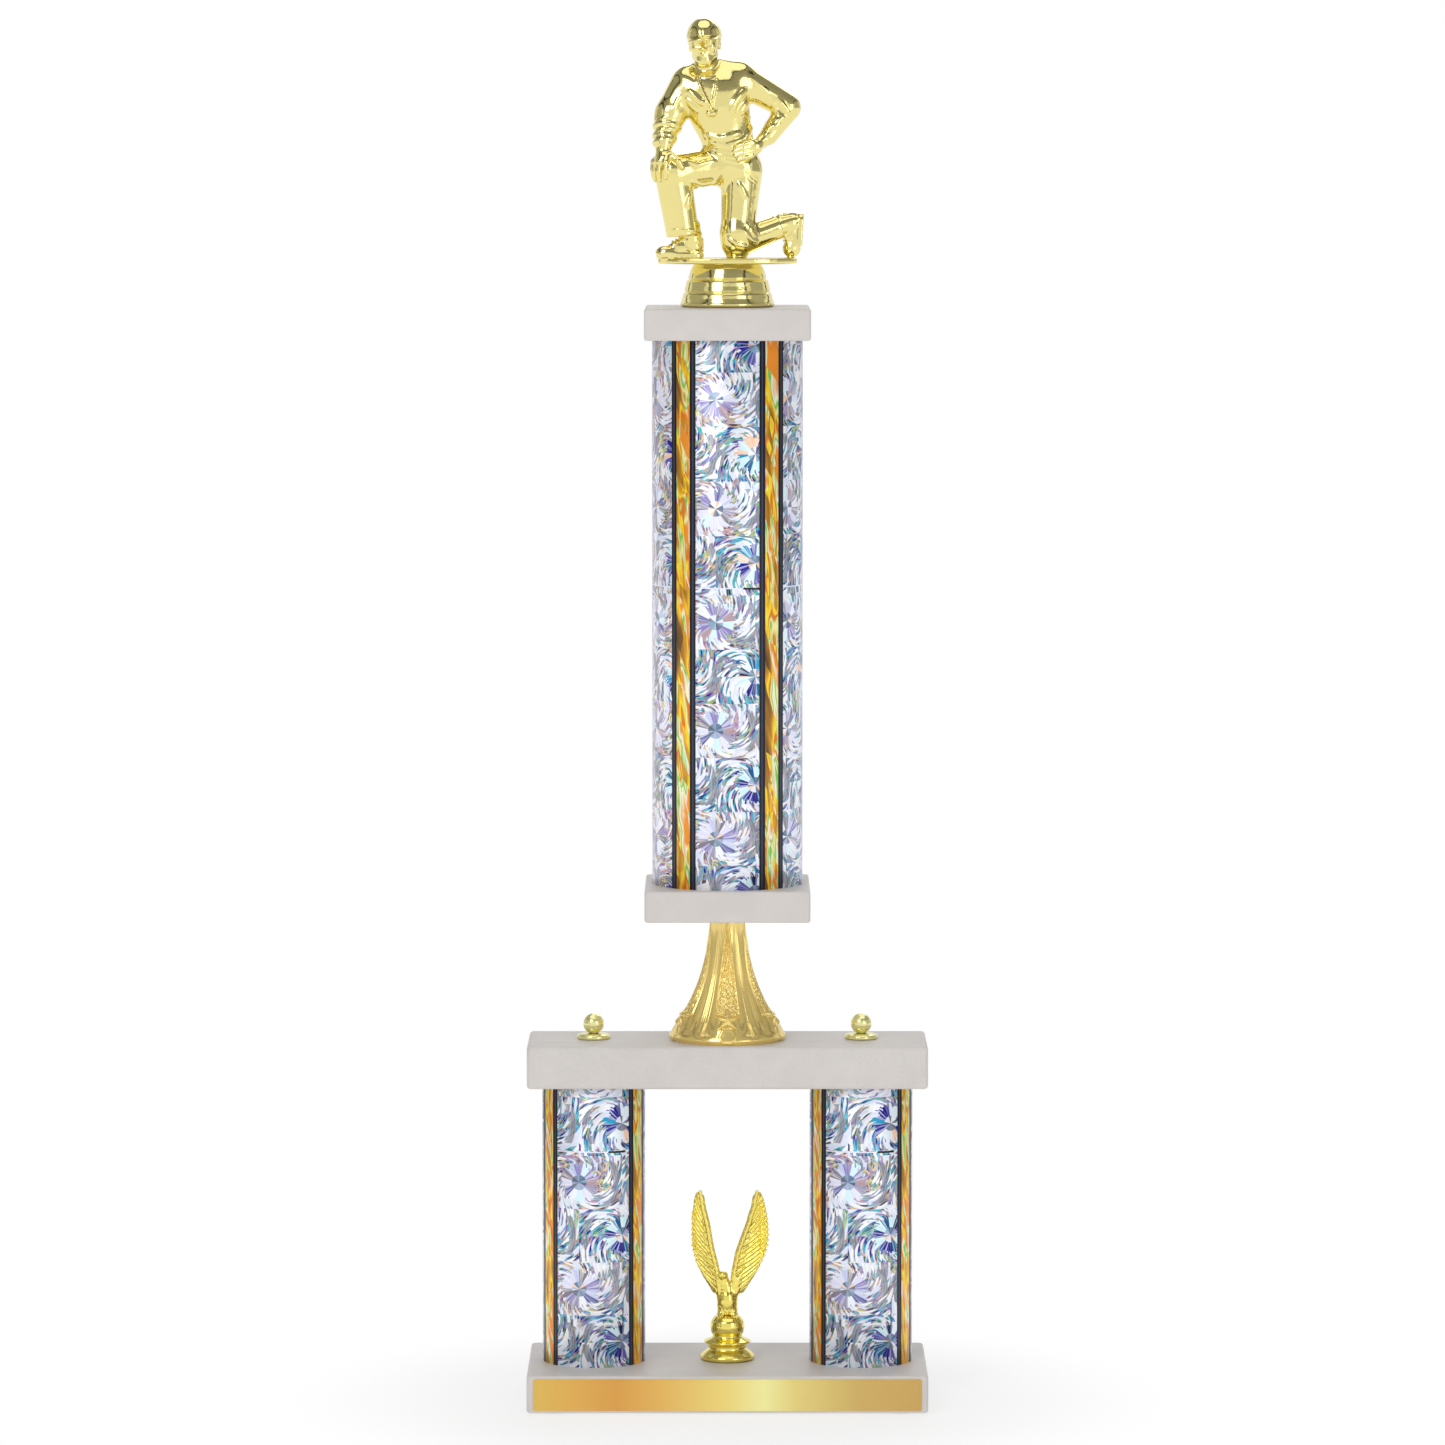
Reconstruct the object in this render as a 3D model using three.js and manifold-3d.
// A two-post column trophy: a stone base carries two film-wrapped posts, a stone deck, a flared riser,
// one tall film-wrapped column and a figure of a kneeling coach. Threaded rods clamp the stack together.
// Millimetres, +Z up, front towards -Y, origin on the supporting surface under the middle of the base.
import * as THREE from "three";
import { mergeVertices } from "three/addons/utils/BufferGeometryUtils.js";
import Module from "manifold-3d";

const wasm = await Module();
wasm.setup();

// ---- driving dimensions ---------------------------------------------------------------------------
const PAD = { radius: 7, thick: 0.8, x: 88, y: 38 };
const BASE = { width: 204, depth: 100, thick: 19.2, edge: 1.8 };
const DECK = { width: 204, depth: 63.4, thick: 22, edge: 1.8 };
const SMALL_SLAB = { width: 84, depth: 84, thick: 16, edge: 1.5 };
const PLATE = { width: 197.2, height: 16.2, thick: 0.6 };
const POST = { x: 68.5, length: 144, outer: 26, wall: 1.5, film: 26.4, sides: 32 };
const COLUMN = { length: 278, outer: 38, wall: 1.8, film: 38.4, sides: 40 };
const FILM_GAP = 0.05;
const RISER_HEIGHT = 64.3;
const POST_ROD = 2.4;
const CENTRE_ROD = 3.1;
const ROD_SIDES = 12;
const CLEAR = 0.5; // radial clearance of a hole round its rod
const REST_GAP = 0.1; // under a piece that screws off
const FIGURE_BASE_HEIGHT = 21.7;
const PLATFORM_THICK = 3;

// ---- levels, from the ground up -------------------------------------------------------------------
const baseTop = PAD.thick + BASE.thick;
const deckBottom = baseTop + POST.length;
const deckTop = deckBottom + DECK.thick;
const footBottom = deckTop + RISER_HEIGHT;
const footTop = footBottom + SMALL_SLAB.thick;
const capBottom = footTop + COLUMN.length;
const capTop = capBottom + SMALL_SLAB.thick;
const platformTop = capTop + REST_GAP + FIGURE_BASE_HEIGHT + REST_GAP + PLATFORM_THICK;

// ---- materials ------------------------------------------------------------------------------------
const finish = (color, roughness, metalness) =>
  new THREE.MeshStandardMaterial({ color, roughness, metalness });
const STONE = finish(0xd0cbc7, 0.35, 0);
const FELT = finish(0x5a5a58, 0.95, 0);
const STYRENE = finish(0xe6e6e6, 0.5, 0);
const FILM = finish(0xc9cbe0, 0.2, 0.8);
const STEEL = finish(0xb4b4b8, 0.35, 1);
const PALE_GOLD = finish(0xe9dc8c, 0.1, 1);
const RICH_GOLD = finish(0xdcb850, 0.1, 1);
const BRIGHT_GOLD = finish(0xe2c82e, 0.15, 1);
const PLATE_GOLD = finish(0xdcb45c, 0.25, 1);

// ---- solids ---------------------------------------------------------------------------------------
// A closed geometry as a manifold solid, for cutting and joining.
function solid(geometry) {
  const bare = (geometry.index ? geometry.toNonIndexed() : geometry.clone());
  bare.deleteAttribute("normal");
  bare.deleteAttribute("uv");
  const merged = mergeVertices(bare, 1e-4);
  return new wasm.Manifold(new wasm.Mesh({
    numProp: 3,
    vertProperties: merged.attributes.position.array,
    triVerts: new Uint32Array(merged.index.array),
  }));
}

function geometryOf(manifold) {
  const mesh = manifold.getMesh();
  const geometry = new THREE.BufferGeometry();
  geometry.setAttribute("position", new THREE.BufferAttribute(mesh.vertProperties, 3));
  geometry.setIndex(new THREE.BufferAttribute(mesh.triVerts, 1));
  geometry.computeVertexNormals();
  return geometry;
}

const joined = (parts) => parts.map(solid).reduce((a, b) => a.add(b));
const cut = (geometry, holes) => geometryOf(holes.map(solid).reduce((a, b) => a.subtract(b), solid(geometry)));

// A profile of [radius, height] points turned about Z; it starts and ends on the axis, or is closed.
function turned(profile, sides) {
  const points = profile.map(([r, z]) => new THREE.Vector2(r, z));
  return new THREE.LatheGeometry(points, sides).rotateX(Math.PI / 2);
}

const ring = (inner, outer, height, sides) =>
  turned([[inner, 0], [outer, 0], [outer, height], [inner, height], [inner, 0]], sides);

const rod = (radius, height, sides) =>
  turned([[0, 0], [radius, 0], [radius, height], [0, height]], sides);

const drill = (radius, from, to, x = 0, sides = 16) =>
  rod(radius, to - from, sides).translate(x, 0, from);

// A slab with rounded corners and edges, standing on z = 0.
function roundedSlab({ width, depth, thick, edge }) {
  const w = width / 2 - edge;
  const d = depth / 2 - edge;
  const corner = edge;
  const outline = new THREE.Shape();
  outline.moveTo(-w + corner, -d);
  outline.lineTo(w - corner, -d);
  outline.absarc(w - corner, -d + corner, corner, -Math.PI / 2, 0);
  outline.absarc(w - corner, d - corner, corner, 0, Math.PI / 2);
  outline.absarc(-w + corner, d - corner, corner, Math.PI / 2, Math.PI);
  outline.absarc(-w + corner, -d + corner, corner, Math.PI, 1.5 * Math.PI);
  return new THREE.ExtrudeGeometry(outline, {
    depth: thick - 2 * edge, curveSegments: 2,
    bevelEnabled: true, bevelSize: edge, bevelThickness: edge, bevelSegments: 2,
  }).translate(0, 0, edge);
}

// A limb from a to b with round ends, as thick as its two radii.
function limb(a, b, radiusA, radiusB, sides = 10) {
  const from = new THREE.Vector3(...a);
  const axis = new THREE.Vector3(...b).sub(from);
  const length = axis.length();
  const steps = 3;
  const profile = [];
  for (let i = 0; i <= steps; i += 1) {
    const t = (Math.PI / 2) * (1 - i / steps);
    profile.push([radiusA * Math.cos(t), -radiusA * Math.sin(t)]);
  }
  for (let i = 0; i <= steps; i += 1) {
    const t = (Math.PI / 2) * (i / steps);
    profile.push([radiusB * Math.cos(t), length + radiusB * Math.sin(t)]);
  }
  profile[0][0] = 0;
  profile[profile.length - 1][0] = 0;
  const turn = new THREE.Quaternion().setFromUnitVectors(new THREE.Vector3(0, 0, 1), axis.normalize());
  return turned(profile, sides).applyQuaternion(turn).translate(...from);
}

function ellipsoid(centre, radii, sides = 14, rings = 8) {
  return new THREE.SphereGeometry(1, sides, rings).rotateX(Math.PI / 2).scale(...radii).translate(...centre);
}

// ---- assembly -------------------------------------------------------------------------------------
const trophy = new THREE.Group();

function add(name, geometry, material, z = 0, x = 0, y = 0) {
  const mesh = new THREE.Mesh(geometry, material);
  mesh.name = name;
  mesh.position.set(x, y, z);
  trophy.add(mesh);
  return mesh;
}

// A hexagon nut, or a round washer, standing on z with its hole clear of the rod.
const HOLE_SIDES = 16;
function nut(name, z, rodRadius, height, x = 0) {
  const across = rodRadius * 2.3;
  const body = new THREE.CylinderGeometry(across, across, height, 6).rotateX(Math.PI / 2);
  const bored = cut(body.translate(0, 0, height / 2), [drill(rodRadius + 0.3, -1, height + 1)]);
  add(name, bored, STEEL, z, x);
}
const washer = (name, z, rodRadius, outer, thick, x = 0) =>
  add(name, ring(rodRadius + 0.4, outer, thick, HOLE_SIDES), STEEL, z, x);

const SIDES = [["left", -1], ["right", 1]];
const NUT_POCKET = { radius: 9, depth: 8.5 };
const WASHER_THICK = 1.2;
const POST_NUT = 3.4;
const CENTRE_NUT = 4.2;

function makeBase() {
  const slab = roundedSlab(BASE);
  const holes = [
    drill(POST_ROD + CLEAR, -1, BASE.thick + 1),
    drill(6.5, -1, 5),
  ];
  for (const [, side] of SIDES) {
    holes.push(drill(POST_ROD + CLEAR, -1, BASE.thick + 1, side * POST.x));
    holes.push(drill(NUT_POCKET.radius, -1, NUT_POCKET.depth, side * POST.x, 20));
  }
  add("base_slab", cut(slab, holes), STONE, PAD.thick);
  const corners = [["front_left", -1, -1], ["front_right", 1, -1], ["back_left", -1, 1], ["back_right", 1, 1]];
  for (const [where, sx, sy] of corners)
    add("foot_pad_" + where, rod(PAD.radius, PAD.thick, 16), FELT, 0, sx * PAD.x, sy * PAD.y);
  const plate = new THREE.BoxGeometry(PLATE.width, PLATE.thick, PLATE.height);
  add("nameplate", plate, PLATE_GOLD, PAD.thick + BASE.thick / 2 - 0.1, 0, -BASE.depth / 2 - PLATE.thick / 2);
}

// A hollow tube with its film wrap and a centring plug in each end.
function makeColumn(name, z, x, { length, outer, wall, film, sides }, rodRadius) {
  const plug = { radius: outer - wall - 0.3, thick: 5 };
  add(name + "_tube", ring(outer - wall, outer, length, sides), STYRENE, z, x);
  add(name + "_film_wrap", ring(outer + FILM_GAP, film, length, sides), FILM, z, x);
  for (const [end, at] of [["lower", z], ["upper", z + length - plug.thick]])
    add(name + "_" + end + "_plug", ring(rodRadius + CLEAR, plug.radius, plug.thick, sides), STYRENE, at, x);
}

const FINIAL = { disc: 8.5, thick: 2.8, ball: 5.3, bore: 6.6 };

function makePosts() {
  for (const [name, side] of SIDES) {
    const x = side * POST.x;
    makeColumn(name + "_post", baseTop, x, POST, POST_ROD);
    const nutTop = PAD.thick + NUT_POCKET.depth - WASHER_THICK;
    washer(name + "_post_washer", nutTop, POST_ROD, 7, WASHER_THICK, x);
    nut(name + "_post_nut", nutTop - POST_NUT, POST_ROD, POST_NUT, x);
    const rodBottom = nutTop - POST_NUT - 1;
    const rodTop = deckTop + FINIAL.thick + 6;
    add(name + "_post_rod", rod(POST_ROD, rodTop - rodBottom, ROD_SIDES), STEEL, rodBottom, x);
  }
}

function makeDeck() {
  const holes = [
    drill(CENTRE_ROD + CLEAR, -1, DECK.thick + 1),
    drill(NUT_POCKET.radius, -1, NUT_POCKET.depth, 0, 20),
  ];
  for (const [, side] of SIDES) holes.push(drill(POST_ROD + CLEAR, -1, DECK.thick + 1, side * POST.x));
  add("deck_slab", cut(roundedSlab(DECK), holes), STONE, deckBottom);
  for (const [name, side] of SIDES) {
    const x = side * POST.x;
    const { disc, thick, ball, bore } = FINIAL;
    const hole = POST_ROD + CLEAR;
    const rim = [[hole, 0], [disc - 0.8, 0], [disc - 0.2, 0.4], [disc, thick / 2], [disc - 0.2, thick - 0.4],
      [disc - 0.8, thick], [hole, thick], [hole, 0]];
    add(name + "_finial_disc", turned(rim, 20), PALE_GOLD, deckTop + REST_GAP, x);
    const round = ellipsoid([0, 0, ball - 0.5], [ball, ball, ball], 16, 8);
    const knob = cut(round, [drill(POST_ROD + 0.3, -2, bore), drill(ball + 1, -2, 0)]);
    add(name + "_finial_ball", knob, PALE_GOLD, deckTop + REST_GAP + thick + REST_GAP, x);
  }
}

// The riser is a flared bell moulded round a centre sleeve for the rod, open underneath.
function makeRiser() {
  const top = 9;
  const foot = 30.3;
  const wall = 1.8;
  const lip = 2.2;
  const flare = (t) => top + (foot - top) * Math.pow(1 - t, 2.05);
  const rings = 7;
  const outer = [];
  const inner = [];
  for (let i = 0; i <= rings; i += 1) {
    const t = i / rings;
    outer.push([flare(t), lip + t * (RISER_HEIGHT - lip)]);
    if (t < 0.9) inner.unshift([flare(t) - wall, lip + t * (RISER_HEIGHT - lip)]);
  }
  const bore = CENTRE_ROD + CLEAR;
  const sleeve = bore + 1.4;
  const profile = [[foot - 1.2, 0], ...outer, [bore, RISER_HEIGHT], [bore, 0], [sleeve, 0],
    [sleeve, RISER_HEIGHT * 0.8], ...inner, [foot - 1.2 - wall, 0], [foot - 1.2, 0]];
  add("riser_bell", turned(profile, 28), RICH_GOLD, deckTop);
}

function makeUpperStage() {
  const slab = () => cut(roundedSlab(SMALL_SLAB), [drill(CENTRE_ROD + CLEAR, -1, SMALL_SLAB.thick + 1)]);
  add("column_foot_slab", slab(), STONE, footBottom);
  makeColumn("tall_column", footTop, 0, COLUMN, CENTRE_ROD);
  add("column_cap_slab", slab(), STONE, capBottom);
  const nutTop = deckBottom + NUT_POCKET.depth - WASHER_THICK;
  washer("centre_lower_washer", nutTop, CENTRE_ROD, 8, WASHER_THICK);
  nut("centre_lower_nut", nutTop - CENTRE_NUT, CENTRE_ROD, CENTRE_NUT);
  washer("centre_upper_washer", capTop, CENTRE_ROD, 8, WASHER_THICK);
  nut("centre_upper_nut", capTop + WASHER_THICK, CENTRE_ROD, CENTRE_NUT);
  const rodBottom = nutTop - CENTRE_NUT - 1;
  const rodTop = capTop + 17;
  add("centre_rod", rod(CENTRE_ROD, rodTop - rodBottom, ROD_SIDES), STEEL, rodBottom);
}

// ---- the coach figure: joints in millimetres above the middle of its platform ---------------------
const FIGURE_NUT = { thick: 6.5, z: 11.5 };

// Three flared tiers, hollow underneath, with a collar that holds the threaded insert.
function makeFigureBase() {
  const tiers = [[22.6, 0], [23.9, 0.8], [23.9, 1.8], [22.3, 7.2], [21.6, 7.4], [21.9, 8.2], [20.5, 13.8],
    [19.7, 14], [19.9, 14.8], [18.2, 19.8], [17, FIGURE_BASE_HEIGHT]];
  const collar = 9.2;
  const pocket = CENTRE_ROD * 2.3 + 0.4;
  const { thick, z } = FIGURE_NUT;
  const hollow = [[pocket, 19], [pocket, z - 1], [collar, z - 1], [collar, 19], [15.4, 19], [21, 0], [22.6, 0]];
  const profile = [...tiers, [0, FIGURE_BASE_HEIGHT], [0, 19], ...hollow];
  add("figure_base", turned(profile, 26), PALE_GOLD, capTop + REST_GAP);
  const across = CENTRE_ROD * 2.3;
  const hex = new THREE.CylinderGeometry(across, across, thick, 6).rotateX(Math.PI / 2);
  const insert = cut(hex.translate(0, 0, thick / 2), [drill(CENTRE_ROD + 0.3, -1, thick + 1)]);
  add("figure_threaded_insert", insert, STEEL, capTop + REST_GAP + z);
}

function makePlatform() {
  const outline = new THREE.Shape();
  outline.absellipse(0, 0, 35.4, 19.5, 0, 2 * Math.PI, false, 0.07);
  return new THREE.ExtrudeGeometry(outline, {
    depth: PLATFORM_THICK - 1, curveSegments: 14,
    bevelEnabled: true, bevelSize: 0.6, bevelThickness: 0.5, bevelSegments: 1,
  }).translate(0, 0, 0.5 - PLATFORM_THICK);
}

// A shoe from heel to toe: an upper of two limbs on a flat sole.
function shoe(heel, toe, ankle) {
  const along = new THREE.Vector3(...toe).sub(new THREE.Vector3(...heel));
  const length = along.length();
  const turn = new THREE.Quaternion().setFromUnitVectors(new THREE.Vector3(1, 0, 0), along.normalize());
  const sole = new THREE.SphereGeometry(1, 12, 6).scale(length / 2 + 2.5, 4.3, 1.8).translate(length / 2, 0, -1.6);
  return [
    sole.applyQuaternion(turn).translate(...heel),
    limb(heel, toe, 3.9, 3.1),
    limb(ankle, heel, 4.4, 4),
    limb(ankle, toe, 4, 2.6),
  ];
}

// The coach kneels on the left knee: right knee raised with the right hand on it, left hand on the hip.
function makeCoach() {
  const rightHip = [-4, 0, 46];
  const rightKnee = [-27.5, -7, 43.6];
  const leftHip = [6.6, -1, 42];
  const leftKnee = [4.6, -5, 7];
  const leftAnkle = [26, 5, 16];
  const legs = [
    limb(rightHip, rightKnee, 9, 8.6),
    limb(rightKnee, [-22.4, -6.5, 20], 8.8, 8.2),
    limb([-22.4, -6.5, 20], [-21.6, -6.3, 17.6], 8.2, 8),
    ...shoe([-16, -5.5, 3.8], [-32, -9, 3], [-18.4, -6, 11]),
    limb(leftHip, leftKnee, 10.2, 7),
    limb(leftKnee, leftAnkle, 6.6, 6),
    ...shoe([35.4, 6.6, 20], [33, 6, 4.4], [30, 6, 18.5]),
  ];
  const flat = 0.74;
  const trunk = [
    ellipsoid([3, 0, 46.5], [13.6, 9.8, 9]),
    limb([1.2, 0, 56], [-2.2, -0.7, 73], 13.2, 14.6, 14).scale(1, flat, 1),
    limb([-2.2, -0.7, 73], [-5.4, 0, 84], 14.6, 12.6, 14).scale(1, flat, 1),
    limb([-17.5, 0, 88.4], [5.5, 0, 92], 7.8, 7.4),
    limb([-8.5, 0, 92], [-11.4, -2, 103], 5.2, 4.8),
  ];
  const arms = [
    limb([-21, 0, 87.6], [-29.6, -2, 71.5], 8.2, 7.6),
    limb([-29.6, -2, 71.5], [-33, -9.5, 56], 7, 5),
    limb([-33, -10, 54], [-32.4, -13.6, 46], 5.4, 3.8),
    limb([7.4, 0, 90.8], [31.4, 2, 76], 7.8, 6.2),
    limb([31.4, 2, 76], [18, -4.5, 58.4], 6.4, 4.6),
    limb([18, -4.5, 58.4], [11, -8.4, 54.4], 4.4, 3.4),
  ];
  const head = [
    ellipsoid([-12.2, -3, 108.4], [8, 9.2, 10.6]),
    ellipsoid([-12.2, -2, 112.4], [9, 10.2, 9.4]),
    ellipsoid([-12.6, -12, 112], [6.8, 5.6, 1.4], 12, 6),
  ];
  const body = joined([makePlatform(), ...legs, ...trunk, ...arms, ...head]);
  add("coach_figure", geometryOf(body), PALE_GOLD, platformTop);
}

// ---- the eagle trim between the posts -------------------------------------------------------------
const EAGLE_PEDESTAL = [[0, 0], [12.8, 0], [13.8, 0.8], [13.9, 2.2], [12, 4], [9.8, 5.6], [9.7, 7.6], [12, 9],
  [12, 9.8], [8, 11.4], [7.4, 12.6], [8.5, 14.5], [8.9, 17.4], [8.4, 20], [6.6, 22.3], [3, 23.3], [0, 23.4]];

// One raised wing as a flat outline of [x, z] points, swept back about the bird's middle.
function wing(outline, sweep) {
  const shape = new THREE.Shape(outline.map(([x, z]) => new THREE.Vector2(x, z)));
  const thick = 2.4;
  return new THREE.ExtrudeGeometry(shape, { depth: thick, bevelEnabled: false })
    .translate(0, 0, -thick / 2).rotateX(Math.PI / 2).rotateZ(sweep).translate(0, 1.5, 0);
}

const EAGLE_BORE = 15;

function makeEagle() {
  const seat = baseTop + REST_GAP;
  const bore = drill(POST_ROD + 0.3, -1, EAGLE_BORE + 1);
  add("eagle_pedestal", cut(turned(EAGLE_PEDESTAL, 22), [bore]), BRIGHT_GOLD, seat);
  const leftWing = [[-3, 30], [-8.5, 35], [-13, 42.5], [-17, 51.2], [-18.8, 61.5], [-18.6, 73.9], [-15.8, 86],
    [-13.8, 88.6], [-12.4, 85], [-9.3, 66.4], [-5.9, 51.4], [-3.4, 40], [-1, 34]];
  const rightWing = leftWing.map(([x, z]) => [1.5 - x * 1.06, z]).reverse();
  const bird = joined([
    limb([0, -0.6, 30], [-1.2, -1.4, 38], 5.2, 4.2),
    limb([-1.2, -1.6, 38], [-2, -3, 42.6], 3.8, 2.9),
    limb([-2, -4, 42.6], [-2.2, -7.2, 41], 1.8, 0.8, 8),
    limb([-3.4, -1.2, 31], [-4, -2, 25], 3.4, 2.2, 10),
    limb([3.4, -1.2, 31], [4, -2, 25], 3.4, 2.2, 10),
    limb([1, 2.5, 29], [3.4, 8.5, 23], 3.4, 2.2, 10),
    wing(leftWing, -0.24),
    wing(rightWing, 0.24),
  ]);
  const ball = EAGLE_PEDESTAL.map(([r, z]) => [r > 0 ? r + REST_GAP : 0, z + (r > 0 ? REST_GAP / 2 : REST_GAP)]);
  add("eagle_figure", geometryOf(bird.subtract(solid(turned(ball, 22)))), BRIGHT_GOLD, seat);
  const headTop = PAD.thick + 5 - WASHER_THICK;
  washer("eagle_screw_washer", headTop, POST_ROD, 5.8, WASHER_THICK);
  const shank = baseTop + EAGLE_BORE - headTop;
  const screw = [[0, -2.4], [3.4, -2.4], [4.6, -1.2], [4.6, 0], [POST_ROD, 0], [POST_ROD, shank], [0, shank]];
  add("eagle_screw", turned(screw, HOLE_SIDES), STEEL, headTop);
}

makeBase();
makePosts();
makeDeck();
makeRiser();
makeUpperStage();
makeFigureBase();
makeCoach();
makeEagle();

export default trophy;
